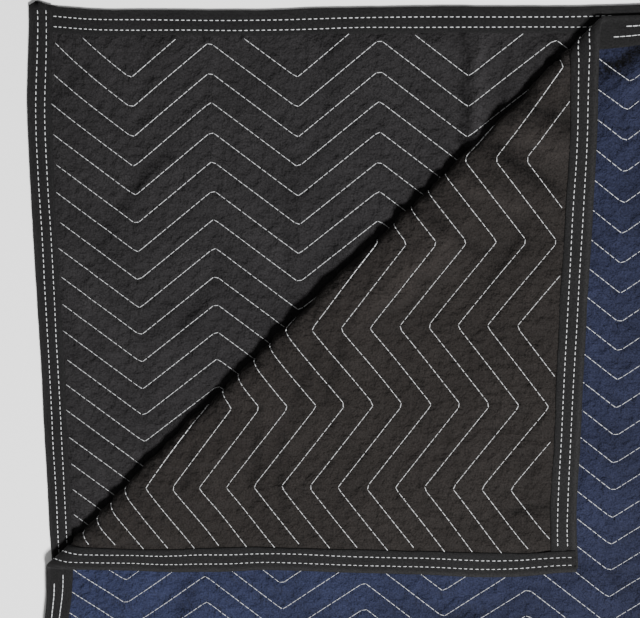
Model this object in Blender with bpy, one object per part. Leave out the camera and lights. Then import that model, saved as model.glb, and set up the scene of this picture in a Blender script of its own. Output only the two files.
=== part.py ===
"""A quilted moving blanket, folded in half, with the upper layer's corner turned back.

Every piece is first modelled as flat cloth: u runs along the blanket's length, v across it,
and w is the height over the middle of the cloth, positive on the black side. Then the two
folds are laid in. The frame is +X to the right, +Y to the back and +Z up, in metres.
"""
import math

import bmesh
import bpy
import numpy as np
from mathutils import Vector

# The cut cloth
LENGTH = 2.032
WIDTH = 1.829
NOSE = 0.003
OVERHANG = 0.0035
CLOTH_LENGTH = LENGTH - 2 * NOSE
CLOTH_WIDTH = WIDTH - 2 * OVERHANG

# Heights over the middle of the cloth
HALF_GAP = 0.00015
FACE = 0.0032
STITCH = 0.0013
EDGE = 0.0015
CORNER = 0.0006

# Doubled edge strips
BLACK_LEG = 0.024
BLUE_LEG = 0.029
STRIP_INNER = 0.0018
STRIP_OUTER = 0.0028
STRIP_NOSE = 0.0014
UNDER_DROP = -0.0009
OVER_RISE = 0.0004
END_ZONE = (0.032, 0.040)
SIDE_ZONES = {"black": (0.027, 0.035), "blue": (0.032, 0.040)}

# Zigzag quilting
FIRST_LOW = 0.1156
LAYER_COLUMNS = 5
PITCHES = (0.1792, 0.1835)
PEAK_SHIFT = -0.003
ZIGZAG_HEIGHT = 0.0693
ROW_PITCH = 0.03141
FIRST_ROW = -0.0696

# How the layers lie
LAYER_PITCH = 0.0070
TOP_OVERHANG = 0.0127
TOP_SLIP = -0.005
SLIP_SPAN = (0.90, 1.20)
END_FOLD_RADIUS = 0.009
END_FOLD_RUN = 0.10

# The corner turned back along a diagonal line
DIAGONAL = 0.6254
DIAGONAL_LOW = (0.0052, 0.0090)
DIAGONAL_HIGH = (0.0080, 0.0290)
DIAGONAL_RUN = 0.140
DIAGONAL_SLACK = 0.007
FULL_FROM = (-0.46, -0.06)
THIN_TO = (0.10, 0.46)
THINNING = 0.30

# Cuts that let the cloth bend: lengths past the fold's outermost line, then plain spans
DIAGONAL_CUTS = (
    0.0100, 0.0065, 0.0038, 0.0012, -0.0014, -0.0040, -0.0070, -0.0105, -0.0150, -0.0205,
    -0.0270, -0.0345, -0.0440, -0.0560, -0.0740, -0.0920, -0.1100, -0.1300, -0.1500, -0.1700, -0.1920,
)
END_ARC_CUTS = 9
END_RUN_CUTS = 3
CROSS_CUTS = (0.34, 0.66, 0.95, 1.25, 1.55)

# Where quilting shows
SILHOUETTE_PAST = 0.0057
FLAP_EDGE_X = 0.604
FLAP_EDGE_Y = -0.606

# Pushes that leave the outline uneven: cloth place, reach, and push along X and Y
PUSHES = (
    {"u": 0.00, "v": -0.700, "reach": 0.300, "x": -0.0030, "y": 0.0000},
    {"u": 2.03, "v": -1.200, "reach": 0.350, "x": -0.0060, "y": 0.0000},
    {"u": 1.25, "v": -1.829, "reach": 0.350, "x": 0.0000, "y": -0.0060},
    {"u": 0.50, "v": -1.829, "reach": 0.350, "x": 0.0000, "y": 0.0050},
)

# The bottom layer's pulled-in corner: its span along both edges, and its pull
CORNER_SPAN = {"u": 0.200, "v": 0.100}
CORNER_PULL = {"x": 0.0100, "y": 0.0056}

COLOURS = {"black": (0.028, 0.027, 0.026), "blue": (0.030, 0.042, 0.080), "strip": (0.017, 0.017, 0.018)}


def smooth(value, start, end):
    """Rise smoothly from 0 at start to 1 at end."""
    share = np.clip((value - start) / (end - start), 0.0, 1.0)
    return share * share * (3.0 - 2.0 * share)


def fold_profile(s, low, high, drop, run, slack):
    """Distance from the fold's outermost line, and height, of cloth a length s past its start."""
    first = 0.5 * math.pi * low
    second = first + 0.5 * math.pi * high
    rise = np.clip(s, 0.0, first) / low
    turn = (np.clip(s, first, second) - first) / high
    q = np.clip(s - second, 0.0, run)
    past = np.maximum(s - second - run, 0.0)
    tilt = 2.0 * drop / run
    wave = 2.0 * math.pi * q / run
    ripple = run / (4.0 * math.pi) * np.sin(wave)
    square = q / 2.0 - ripple
    fourth = 3.0 * q / 8.0 - ripple + run / (32.0 * math.pi) * np.sin(2.0 * wave)
    out = low - np.minimum(s, 0.0) - low * np.sin(rise) + high * (1.0 - np.cos(turn))
    out += q - 0.5 * tilt * tilt * fourth - slack * 2.0 * square / run + past
    height = low * (1.0 - np.cos(rise)) + high * np.sin(turn) - tilt * square
    return out, height


def bent_at_cuts(place, cuts, profile):
    """A fold's profile, straight from one cut in the cloth to the next."""
    after = np.clip(np.searchsorted(cuts, place), 1, len(cuts) - 1)
    near = cuts[after - 1]
    far = cuts[after]
    share = (place - near) / (far - near)
    inside = (share >= 0.0) & (share <= 1.0)
    near_out, near_z = profile(np.where(inside, near, place))
    far_out, far_z = profile(np.where(inside, far, place))
    return near_out + share * (far_out - near_out), near_z + share * (far_z - near_z)


def end_fold(s):
    """The half fold at the right, where the two layers join."""
    radius = END_FOLD_RADIUS
    return fold_profile(s, radius, radius, 2.0 * radius - LAYER_PITCH, END_FOLD_RUN, 0.0)


END_ARC = math.pi * END_FOLD_RADIUS
END_LENGTH = END_ARC + END_FOLD_RUN
END_CUTS = np.array(
    [END_ARC * step / END_ARC_CUTS for step in range(END_ARC_CUTS)]
    + [END_ARC + END_FOLD_RUN * step / END_RUN_CUTS for step in range(END_RUN_CUTS + 1)]
)
END_OUT = float(end_fold(np.array(END_LENGTH))[0])
FOLD_X = (END_OUT + CLOTH_LENGTH + END_FOLD_RADIUS - END_LENGTH - TOP_OVERHANG) / 2.0
FOLD_START = FOLD_X - END_FOLD_RADIUS
TOP_MIRROR = CLOTH_LENGTH - TOP_OVERHANG
DIAGONAL_SUM = TOP_MIRROR - TOP_SLIP - DIAGONAL


def cloth_middle(u, v):
    """Where the middle of the cloth lies once it is folded."""
    out, z = bent_at_cuts(u - FOLD_START, END_CUTS, end_fold)
    x = FOLD_X - out
    y = v + TOP_SLIP * smooth(u, *SLIP_SPAN)
    across = (x - y - DIAGONAL) / math.sqrt(2.0)
    along = (x + y) / math.sqrt(2.0)
    full = smooth(along, *FULL_FROM) * (1.0 - THINNING * smooth(along, *THIN_TO))
    low = DIAGONAL_LOW[0] + (DIAGONAL_LOW[1] - DIAGONAL_LOW[0]) * full
    high = DIAGONAL_HIGH[0] + (DIAGONAL_HIGH[1] - DIAGONAL_HIGH[0]) * full
    drop = low + high - LAYER_PITCH
    slack = DIAGONAL_SLACK * full

    def diagonal_fold(place):
        return fold_profile(low - place, low, high, drop, DIAGONAL_RUN, slack)

    back, lift = bent_at_cuts(across, np.array(sorted(DIAGONAL_CUTS)), diagonal_fold)
    top = u > 0.5 * CLOTH_LENGTH
    across = np.where(top, back, across)
    z = z + np.where(top, lift, 0.0)
    x = (math.sqrt(2.0) * (along + across) + DIAGONAL) / 2.0
    y = (math.sqrt(2.0) * (along - across) - DIAGONAL) / 2.0
    for push in PUSHES:
        share = np.exp(-((u - push["u"]) ** 2 + (v - push["v"]) ** 2) / push["reach"] ** 2)
        x = x + push["x"] * share
        y = y + push["y"] * share
    corner = np.maximum(1.0 - u / CORNER_SPAN["u"], 0.0) * np.maximum(1.0 + v / CORNER_SPAN["v"], 0.0)
    x = x + CORNER_PULL["x"] * corner
    y = y + CORNER_PULL["y"] * corner
    return np.stack([x, y, z + FACE], axis=-1)


def fold_cloth(points):
    """Carry flat cloth points (u, v, w) to their place, w growing at a bend as in a mitre."""
    u, v, w = points.T
    step = 1e-5
    du = (cloth_middle(u + step, v) - cloth_middle(u - step, v)) / (2.0 * step)
    dv = (cloth_middle(u, v + step) - cloth_middle(u, v - step)) / (2.0 * step)
    normal = np.cross(du, dv)
    normal /= np.sum(normal * normal, axis=1)[:, None]
    return cloth_middle(u, v) + normal * w[:, None]


def zigzag_turns():
    """Places along the cloth where the zigzag turns, each with the line's height there."""
    low = FIRST_LOW - PITCHES[0]
    turns = [(low, 0.0)]
    for column in range(LAYER_COLUMNS * 2 + 2):
        pitch = PITCHES[0] if column <= LAYER_COLUMNS else PITCHES[1]
        turns.append((low + 0.5 * pitch + PEAK_SHIFT, ZIGZAG_HEIGHT))
        low += pitch
        turns.append((low, 0.0))
    return turns


TURNS = zigzag_turns()


def zigzag(u):
    """Height of a quilting line over its low points."""
    return np.interp(u, [turn[0] for turn in TURNS], [turn[1] for turn in TURNS])


def ramp(distance, zone):
    """0 under a strip, 1 where the cloth is free of it."""
    return np.clip((distance - zone[0]) / (zone[1] - zone[0]), 0.0, 1.0)


def face_height(u, v, side, quilted):
    """Height of a ply's outer face, with its quilting and its pressed edges."""
    row = (v - zigzag(u) - FIRST_ROW) / ROW_PITCH
    nearest = np.abs(row - np.minimum(np.round(row), 0.0))
    roof = STITCH + (FACE - STITCH) * np.clip(2.0 * nearest, 0.0, 1.0)
    height = np.where(quilted, roof, FACE)
    end = ramp(np.minimum(u, CLOTH_LENGTH - u), END_ZONE)
    edge = ramp(np.minimum(-v, CLOTH_WIDTH + v), SIDE_ZONES[side])
    limit = CORNER + (EDGE - CORNER) * np.maximum(end, edge) + (FACE - EDGE) * np.minimum(end, edge)
    return np.minimum(height, limit)


def cut(bm, faces, point, normal):
    """Cut the given faces along a straight line of the flat cloth."""
    edges = {edge for face in faces for edge in face.edges}
    verts = {vert for face in faces for vert in face.verts}
    geom = list(faces) + list(edges) + list(verts)
    bmesh.ops.bisect_plane(bm, geom=geom, dist=2e-5, plane_co=point, plane_no=normal)


def cut_everywhere(bm, point, normal):
    cut(bm, bm.faces[:], point, normal)


def end_fold_cuts():
    """Cloth lengths at which the half fold at the right is cut across."""
    return [FOLD_START + float(length) for length in END_CUTS]


def diagonal_sums():
    """Values of u + v along the lines where the turned-back corner is cut."""
    return [DIAGONAL_SUM - math.sqrt(2.0) * across for across in DIAGONAL_CUTS]


def cloth_layout():
    """The flat cloth as one sheet of polygons, cut wherever it bends."""
    bm = bmesh.new()
    bmesh.ops.create_grid(bm, x_segments=1, y_segments=1, size=0.5)
    for vert in bm.verts:
        vert.co = ((vert.co.x + 0.5) * CLOTH_LENGTH, (vert.co.y - 0.5) * CLOTH_WIDTH, 0.0)
    for place, _height in TURNS:
        if 0.0 < place < CLOTH_LENGTH:
            cut_everywhere(bm, (place, 0, 0), (1, 0, 0))
    for place in end_fold_cuts():
        cut_everywhere(bm, (place, 0, 0), (1, 0, 0))
    for total in diagonal_sums():
        cut_everywhere(bm, (total, 0, 0), (1, 1, 0))
    for place in CROSS_CUTS:
        cut_everywhere(bm, (0, -place, 0), (0, 1, 0))
    cut_everywhere(bm, (DIAGONAL, 0, 0), (1, -1, 0))
    cut_everywhere(bm, (CORNER_SPAN["u"], 0, 0), (1, 0, 0))
    cut_everywhere(bm, (0, -CORNER_SPAN["v"], 0), (0, 1, 0))
    cut_everywhere(bm, (TOP_MIRROR - FLAP_EDGE_X, 0, 0), (1, 0, 0))
    cut_everywhere(bm, (0, FLAP_EDGE_Y, 0), (0, 1, 0))
    return bm


def shows_quilting(side, u, v):
    """Whether a ply's outer face can be seen at a place of the cloth."""
    top = u > FOLD_START
    turned_back = u + v > DIAGONAL_SUM + SILHOUETTE_PAST
    if side == "black":
        return (top and turned_back) or (not top and u - v < DIAGONAL)
    beside = u < TOP_MIRROR - FLAP_EDGE_X or v < FLAP_EDGE_Y
    return u > FOLD_START + END_ARC and beside and u + v < DIAGONAL_SUM


def free_of_strips(u, v, side):
    """Whether a place lies inside the strips."""
    inside = END_ZONE[0] < u < CLOTH_LENGTH - END_ZONE[0]
    zone = SIDE_ZONES[side][0]
    return inside and zone < -v < CLOTH_WIDTH - zone


def quilt_rows(bm):
    """Cut the zigzag's stitch and crest lines into the quilted faces, while it is sheared straight."""
    for vert in bm.verts:
        vert.co.y -= float(zigzag(vert.co.x))
    rows = int((CLOTH_WIDTH + ZIGZAG_HEIGHT + FIRST_ROW) / ROW_PITCH) + 1
    layer = bm.faces.layers.int["quilted"]
    for half_row in range(-1, 2 * rows):
        height = FIRST_ROW - 0.5 * half_row * ROW_PITCH
        touched = [
            face for face in bm.faces
            if face[layer] and min(v.co.y for v in face.verts) < height < max(v.co.y for v in face.verts)
        ]
        if touched:
            cut(bm, touched, (0, height, 0), (0, 1, 0))
    for vert in bm.verts:
        vert.co.y += float(zigzag(vert.co.x))


def ply(side):
    """One ply: a flat inner face, pressed edges, and an outer face with its quilting."""
    sign = 1.0 if side == "black" else -1.0
    bm = cloth_layout()
    quilted = bm.faces.layers.int.new("quilted")
    inner = bm.faces[:]
    outer_geom = bmesh.ops.extrude_face_region(bm, geom=inner, use_keep_orig=True)["geom"]
    outer = [item for item in outer_geom if isinstance(item, bmesh.types.BMFace)]
    for vert in {vert for face in outer for vert in face.verts}:
        vert.co.z = sign * FACE
    bmesh.ops.triangulate(bm, faces=inner, quad_method="SHORT_EDGE", ngon_method="BEAUTY")
    low, high = SIDE_ZONES[side]
    lines = [((0, -place, 0), (0, 1, 0)) for place in (low, high, CLOTH_WIDTH - high, CLOTH_WIDTH - low)]
    for near, far in (END_ZONE, (CLOTH_LENGTH - END_ZONE[1], CLOTH_LENGTH - END_ZONE[0])):
        lines += [((near, 0, 0), (1, 0, 0)), ((far, 0, 0), (1, 0, 0))]
    for point, normal in lines:
        top = [face for face in bm.faces if all(v.co.z * sign > 0.5 * FACE for v in face.verts)]
        cut(bm, top, point, normal)
    top = [face for face in bm.faces if all(v.co.z * sign > 0.5 * FACE for v in face.verts)]
    for face in top:
        centre = face.calc_center_median()
        if shows_quilting(side, centre.x, centre.y) and free_of_strips(centre.x, centre.y, side):
            face[quilted] = 1
    quilt_rows(bm)
    for vert in bm.verts:
        if vert.co.z * sign > 0.5 * FACE:
            worked = any(face[quilted] for face in vert.link_faces)
            vert.co.z = sign * float(face_height(vert.co.x, vert.co.y, side, worked))
        else:
            vert.co.z = sign * HALF_GAP
    return bm


def ring_section():
    """The closed outline of a strip across the edge: distance in from the cloth's edge, height."""
    outer = STRIP_OUTER
    inner = STRIP_INNER
    return (
        {"in": BLACK_LEG, "w": outer}, {"in": -0.0012, "w": outer}, {"in": -NOSE, "w": 0.0012},
        {"in": -NOSE, "w": -0.0012}, {"in": -0.0012, "w": -outer}, {"in": BLUE_LEG, "w": -outer},
        {"in": BLUE_LEG, "w": -inner}, {"in": -STRIP_NOSE, "w": -inner},
        {"in": -STRIP_NOSE, "w": inner}, {"in": BLACK_LEG, "w": inner},
    )


def strip(stations, place, step_height):
    """A U-shaped strip over an edge, lofted through stations along it."""
    ring = ring_section()
    bm = bmesh.new()
    bmesh.ops.create_grid(bm, x_segments=len(stations) - 1, y_segments=len(ring), size=0.5)
    for vert in bm.verts:
        station = stations[round((vert.co.x + 0.5) * (len(stations) - 1))]
        corner = ring[round((vert.co.y + 0.5) * len(ring)) % len(ring)]
        rise = step_height(station["at"])
        run = station["at"] + station["slant"] * corner["in"]
        sign = 1.0 if corner["w"] > 0.0 else -1.0
        vert.co = (*place(run, corner["in"]), corner["w"] + sign * rise)
    bmesh.ops.remove_doubles(bm, verts=bm.verts, dist=1e-6)
    ends = [edge for edge in bm.edges if edge.is_boundary]
    bmesh.ops.holes_fill(bm, edges=ends, sides=0)
    return bm


def straight(places):
    return [{"at": place, "slant": 0.0} for place in places]


def long_side_stations(with_diagonal):
    """Stations of the strips along the two long sides, from the left end of the cloth."""
    start = [0.0, *END_ZONE, 0.12, CORNER_SPAN["u"], 0.34, 0.48, 0.64, 0.80, 0.92]
    finish = [1.84, CLOTH_LENGTH - END_ZONE[1], CLOTH_LENGTH - END_ZONE[0], CLOTH_LENGTH]
    stations = straight(start) + straight(end_fold_cuts())
    if not with_diagonal:
        return stations + straight([1.40, 1.62]) + straight(finish)
    slanted = [{"at": total, "slant": 1.0} for total in diagonal_sums()]
    return stations + straight([1.25, 1.34]) + slanted + straight([1.73]) + straight(finish)


def end_stations(with_diagonal):
    """Stations of the strips over the two ends, from the upper side of the cloth."""
    start = [OVERHANG, -END_ZONE[0], -END_ZONE[1], -CORNER_SPAN["v"], -0.18]
    finish = [-1.42, END_ZONE[1] - CLOTH_WIDTH, END_ZONE[0] - CLOTH_WIDTH, -CLOTH_WIDTH - OVERHANG]
    if not with_diagonal:
        return straight(start + [-0.34, -0.54, -0.64, -0.74, -0.94, -1.18] + finish)
    slanted = [{"at": total - CLOTH_LENGTH, "slant": 1.0} for total in reversed(diagonal_sums())]
    return straight(start + [-0.28]) + slanted + straight([-0.70, -0.86, -1.10, -1.26] + finish)


def under_step(at):
    """Drop of a long side's strip below the end strip that covers it."""
    return UNDER_DROP * (1.0 - float(ramp(min(at, CLOTH_LENGTH - at), END_ZONE)))


def over_step(at):
    """Rise of an end strip over the long side's strip that it covers."""
    return OVER_RISE * (1.0 - float(ramp(min(-at, CLOTH_WIDTH + at), END_ZONE)))


def strip_pieces():
    """The four strips, each in flat cloth."""
    return {
        "binding_left": strip(end_stations(False), lambda run, depth: (depth, run), over_step),
        "binding_right": strip(
            end_stations(True), lambda run, depth: (CLOTH_LENGTH - depth, run), over_step
        ),
        "binding_top": strip(
            long_side_stations(True), lambda run, depth: (run, -depth), under_step
        ),
        "binding_bottom": strip(
            long_side_stations(False), lambda run, depth: (run, depth - CLOTH_WIDTH), under_step
        ),
    }


def cloth_material(name, colour, roughness):
    """A plain matte cloth finish."""
    material = bpy.data.materials.new(name)
    material.use_nodes = True
    shader = material.node_tree.nodes["Principled BSDF"]
    shader.inputs["Base Color"].default_value = (*colour, 1.0)
    shader.inputs["Roughness"].default_value = roughness
    shader.inputs["Metallic"].default_value = 0.0
    return material


def finish_piece(name, bm, material, collection):
    """Triangulate flat cloth, fold it and put it in the scene as an object."""
    bmesh.ops.triangulate(bm, faces=bm.faces[:], quad_method="SHORT_EDGE", ngon_method="BEAUTY")
    points = np.array([vert.co[:] for vert in bm.verts])
    for vert, place in zip(bm.verts, fold_cloth(points)):
        vert.co = Vector(place)
    bmesh.ops.recalc_face_normals(bm, faces=bm.faces[:])
    if bm.calc_volume(signed=True) < 0.0:
        bmesh.ops.reverse_faces(bm, faces=bm.faces[:])
    mesh = bpy.data.meshes.new(name)
    bm.to_mesh(mesh)
    bm.free()
    mesh.materials.append(material)
    item = bpy.data.objects.new(name, mesh)
    collection.objects.link(item)
    return item


def centre_on_origin(items):
    """Move the meshes so that the middle of the whole box's underside is the origin."""
    corners = np.array([vert.co[:] for item in items for vert in item.data.vertices])
    low = corners.min(axis=0)
    high = corners.max(axis=0)
    shift = Vector((-(low[0] + high[0]) / 2.0, -(low[1] + high[1]) / 2.0, 0.0))
    for item in items:
        for vert in item.data.vertices:
            vert.co += shift


def main():
    for item in list(bpy.data.objects):
        bpy.data.objects.remove(item)
    collection = bpy.data.collections.new("moving_blanket")
    bpy.context.scene.collection.children.link(collection)
    black = cloth_material("black_cloth", COLOURS["black"], 0.92)
    blue = cloth_material("navy_cloth", COLOURS["blue"], 0.90)
    edging = cloth_material("edge_strip", COLOURS["strip"], 0.88)
    items = [
        finish_piece("face_black", ply("black"), black, collection),
        finish_piece("face_blue", ply("blue"), blue, collection),
    ]
    for name, bm in strip_pieces().items():
        items.append(finish_piece(name, bm, edging, collection))
    centre_on_origin(items)


main()
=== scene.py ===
"""Looks of a quilted moving blanket, folded in half with one corner turned back.

Every piece is first worked out as flat cloth: u runs along the blanket, v across it from its
upper side down, and w is the height over the middle of the cloth, positive on the black side.
The two folds are laid in at the end. Sizes are in metres.
"""
import math

import bmesh
import bpy
import numpy as np
from bpy.props import FloatProperty, FloatVectorProperty, PointerProperty
from mathutils import Matrix, Vector


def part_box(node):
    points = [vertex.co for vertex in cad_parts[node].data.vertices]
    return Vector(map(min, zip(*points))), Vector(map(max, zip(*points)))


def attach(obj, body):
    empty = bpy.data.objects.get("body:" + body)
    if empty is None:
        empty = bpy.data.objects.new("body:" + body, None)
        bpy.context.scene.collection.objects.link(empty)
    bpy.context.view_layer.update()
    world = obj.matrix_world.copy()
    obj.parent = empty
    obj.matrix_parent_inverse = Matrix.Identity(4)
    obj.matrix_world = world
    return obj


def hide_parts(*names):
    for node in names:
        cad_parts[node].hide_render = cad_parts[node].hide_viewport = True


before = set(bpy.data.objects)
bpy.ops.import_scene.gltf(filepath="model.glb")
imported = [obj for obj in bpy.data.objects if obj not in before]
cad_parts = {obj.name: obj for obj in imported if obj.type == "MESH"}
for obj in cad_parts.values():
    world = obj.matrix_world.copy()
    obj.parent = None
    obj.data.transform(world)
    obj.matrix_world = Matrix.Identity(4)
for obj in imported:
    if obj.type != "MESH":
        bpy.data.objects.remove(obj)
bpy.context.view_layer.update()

bl_info = {
    "name": "Quilted Moving Blanket",
    "version": (1, 0, 0),
    "blender": (4, 5, 0),
    "location": "View3D > Sidebar > Blanket",
    "description": "Dresses a folded moving blanket with quilting, edge strips, stitches and cloth",
    "category": "Add Mesh",
}

# The cut cloth, as the frame's solids have it
CLOTH_LENGTH = 2.026
CLOTH_WIDTH = 1.822
FACE = 0.0032
HALF_GAP = 0.00015
LEAST_FACE = 0.0007

# How the layers lie, as the frame's solids have it
LAYER_PITCH = 0.0070
TOP_OVERHANG = 0.0127
TOP_SLIP = -0.005
SLIP_SPAN = (0.90, 1.20)
END_FOLD_RADIUS = 0.009
END_FOLD_RUN = 0.10
DIAGONAL = 0.6254

# The diagonal fold, lower than in the frame's solids
DIAGONAL_LOW = (0.0045, 0.0060)
DIAGONAL_HIGH = (0.0060, 0.0120)
DIAGONAL_OVAL = 1.25
DIAGONAL_RUN = 0.120
DIAGONAL_TUCK = 0.0165
TUCK_RUN = 0.090
FULL_FROM = (-0.56, -0.30)
THIN_TO = (0.10, 0.46)
THINNING = 0.45
FLAP_EDGE = {"x": 0.604, "y": -0.625}

# Zigzag quilting
FIRST_LOW = 0.1156
TURN_COLUMNS = 12
NEAR_COLUMNS = 6
PITCHES = (0.1792, 0.1835)
PEAK_SHIFT = -0.003
ZIGZAG_HEIGHT = 0.0693
ROW_PITCH = 0.03141
FIRST_ROW = -0.0696
ROWS = 60
TIP_RADIUS = 0.002
SLOPE = 2.0 * ZIGZAG_HEIGHT / PITCHES[0]
BAND = ROW_PITCH / math.hypot(1.0, SLOPE)

# Edges: the ply ends inside the strip, whose fold is the blanket's edge
PLY_INSET = 0.0026
STRIP_FOLDS = {"left": -0.0020, "right": -0.0030, "top": -0.0008, "bottom": -0.0030}
PRESSED = 0.0013
PRESSED_CORNER = 0.0005
LEGS = {"black": 0.0254, "blue": 0.0294}
FREE_FROM = 0.0012
FREE_RISE = 0.0085
STITCH_ROWS = (0.0104, 0.0206)
STRIP_INSIDE = 0.0017
END_ZONE = (0.032, 0.040)
UNDER_DROP = -0.0009
OVER_RISE = 0.0005
TOP_FOLD_SHIFT = -0.0022
FLOOR_CLEAR = 0.0001
FLOOR_SQUASH = 0.0003
STITCH_TAPER = 0.0004
STITCH_SINK = 0.0004

# Pushes that leave the outline uneven: cloth place, reach, and push along X and Y
PUSHES = (
    {"u": 0.00, "v": -0.700, "reach": 0.300, "x": -0.0030, "y": 0.0000},
    {"u": 2.03, "v": -1.200, "reach": 0.350, "x": -0.0060, "y": 0.0000},
    {"u": 1.25, "v": -1.829, "reach": 0.350, "x": 0.0000, "y": -0.0060},
    {"u": 0.50, "v": -1.829, "reach": 0.350, "x": 0.0000, "y": 0.0050},
    {"u": 0.00, "v": 0.000, "reach": 0.075, "x": 0.0100, "y": 0.0000},
    {"u": 0.00, "v": 0.000, "reach": 0.060, "x": 0.0000, "y": 0.0060},
    {"u": 0.24, "v": 0.000, "reach": 0.080, "x": 0.0000, "y": -0.0018},
    {"u": 0.57, "v": 0.000, "reach": 0.090, "x": 0.0000, "y": -0.0018},
    {"u": 1.50, "v": -0.050, "reach": 0.150, "x": 0.0005, "y": 0.0015},
    {"u": 1.78, "v": -0.080, "reach": 0.180, "x": -0.0015, "y": 0.0065},
    {"u": 2.02, "v": -0.080, "reach": 0.180, "x": -0.0025, "y": 0.0030},
    {"u": 1.80, "v": -0.280, "reach": 0.140, "x": -0.0015, "y": 0.0015},
    {"u": 2.02, "v": -0.360, "reach": 0.160, "x": -0.0090, "y": -0.0015},
    {"u": 2.02, "v": -0.580, "reach": 0.100, "x": -0.0030, "y": -0.0048},
    {"u": 1.33, "v": -0.450, "reach": 0.250, "x": 0.0050, "y": -0.0020},
    {"u": 1.36, "v": -0.750, "reach": 0.220, "x": 0.0055, "y": -0.0040},
    {"u": 1.62, "v": -0.720, "reach": 0.160, "x": 0.0045, "y": -0.0045},
    {"u": 1.88, "v": -0.760, "reach": 0.160, "x": 0.0055, "y": -0.0065},
    {"u": 1.46, "v": 0.000, "reach": 0.080, "x": -0.0030, "y": 0.0000},
    {"u": 1.25, "v": 0.000, "reach": 0.140, "x": -0.0060, "y": 0.0050},
    {"u": 2.03, "v": -0.700, "reach": 0.080, "x": -0.0090, "y": 0.0000},
    {"u": 2.03, "v": 0.000, "reach": 0.040, "x": 0.0045, "y": 0.0060},
    {"u": 2.03, "v": -0.100, "reach": 0.060, "x": 0.0000, "y": -0.0050},
    {"u": 2.03, "v": -0.220, "reach": 0.080, "x": 0.0000, "y": -0.0030},
    {"u": 2.03, "v": -0.385, "reach": 0.040, "x": 0.0000, "y": -0.0040},
    {"u": 2.03, "v": -0.450, "reach": 0.050, "x": 0.0000, "y": -0.0065},
    {"u": 2.03, "v": -0.520, "reach": 0.055, "x": 0.0050, "y": 0.0000},
)

# How strongly the creases stand out: height scale, height that gets the full painted shade, and the painted
# shade's strength in the tone
CREASE_STRENGTH = 2.4
CREASE_FULL = 0.0045
PAINTED_CREASE_SHADE = 0.5

# Creases, listed one by one: middle, direction in degrees, half length, half width, height
CREASES = {
    "black": (
        {"u": 0.470, "v": -0.085, "turn": 92, "length": 0.085, "width": 0.0050, "height": -0.0022},
        {"u": 0.484, "v": -0.100, "turn": 88, "length": 0.080, "width": 0.0070, "height": 0.0016},
        {"u": 0.558, "v": -0.060, "turn": 93, "length": 0.050, "width": 0.0050, "height": -0.0018},
        {"u": 0.570, "v": -0.055, "turn": 84, "length": 0.045, "width": 0.0060, "height": 0.0014},
        {"u": 0.505, "v": -0.110, "turn": 80, "length": 0.050, "width": 0.0045, "height": -0.0010},
        {"u": 0.135, "v": -0.165, "turn": 52, "length": 0.035, "width": 0.0050, "height": -0.0015},
        {"u": 0.190, "v": -0.300, "turn": 58, "length": 0.060, "width": 0.0060, "height": -0.0013},
        {"u": 0.085, "v": -0.235, "turn": 62, "length": 0.080, "width": 0.0070, "height": -0.0012},
        {"u": 0.060, "v": -0.300, "turn": 75, "length": 0.060, "width": 0.0060, "height": 0.0010},
        {"u": 0.285, "v": -0.230, "turn": 88, "length": 0.070, "width": 0.0050, "height": -0.0009},
        {"u": 0.040, "v": -0.080, "turn": 40, "length": 0.040, "width": 0.0060, "height": -0.0012},
        {"u": 0.330, "v": -0.060, "turn": 85, "length": 0.040, "width": 0.0060, "height": -0.0009},
    ),
    "flap": (
        {"x": 0.560, "y": -0.110, "turn": -25, "length": 0.040, "width": 0.0060, "height": -0.0026},
        {"x": 0.545, "y": -0.135, "turn": -22, "length": 0.040, "width": 0.0060, "height": 0.0020},
        {"x": 0.530, "y": -0.160, "turn": -28, "length": 0.050, "width": 0.0065, "height": -0.0024},
        {"x": 0.500, "y": -0.190, "turn": -20, "length": 0.050, "width": 0.0070, "height": 0.0016},
        {"x": 0.465, "y": -0.235, "turn": -35, "length": 0.050, "width": 0.0060, "height": -0.0014},
        {"x": 0.420, "y": -0.270, "turn": 45, "length": 0.090, "width": 0.0120, "height": 0.0016},
        {"x": 0.335, "y": -0.380, "turn": 75, "length": 0.045, "width": 0.0050, "height": -0.0016},
        {"x": 0.300, "y": -0.400, "turn": 68, "length": 0.050, "width": 0.0055, "height": -0.0014},
        {"x": 0.245, "y": -0.480, "turn": 88, "length": 0.060, "width": 0.0060, "height": -0.0012},
        {"x": 0.275, "y": -0.500, "turn": 90, "length": 0.060, "width": 0.0060, "height": -0.0012},
        {"x": 0.170, "y": -0.500, "turn": 70, "length": 0.030, "width": 0.0060, "height": -0.0016},
        {"x": 0.560, "y": -0.540, "turn": 8, "length": 0.045, "width": 0.0060, "height": -0.0016},
        {"x": 0.520, "y": -0.250, "turn": 60, "length": 0.060, "width": 0.0070, "height": -0.0012},
    ),
    "blue": (
        {"x": 0.640, "y": -0.045, "turn": 35, "length": 0.050, "width": 0.0060, "height": -0.0026},
        {"x": 0.650, "y": -0.070, "turn": 40, "length": 0.050, "width": 0.0070, "height": 0.0018},
        {"x": 0.620, "y": -0.058, "turn": 28, "length": 0.040, "width": 0.0050, "height": -0.0020},
        {"x": 0.150, "y": -0.680, "turn": 70, "length": 0.050, "width": 0.0070, "height": -0.0012},
        {"x": 0.450, "y": -0.690, "turn": 20, "length": 0.070, "width": 0.0080, "height": -0.0014},
        {"x": 0.640, "y": -0.620, "turn": -15, "length": 0.060, "width": 0.0080, "height": -0.0012},
        {"x": 0.300, "y": -0.950, "turn": 25, "length": 0.160, "width": 0.0110, "height": -0.0014},
        {"x": 0.700, "y": -1.250, "turn": -30, "length": 0.200, "width": 0.0120, "height": -0.0016},
        {"x": 0.850, "y": -0.400, "turn": 80, "length": 0.180, "width": 0.0110, "height": -0.0014},
    ),
}


def smooth(value, start, end):
    """Rise smoothly from 0 at start to 1 at end."""
    share = np.clip((value - start) / (end - start), 0.0, 1.0)
    return share * share * (3.0 - 2.0 * share)


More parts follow.
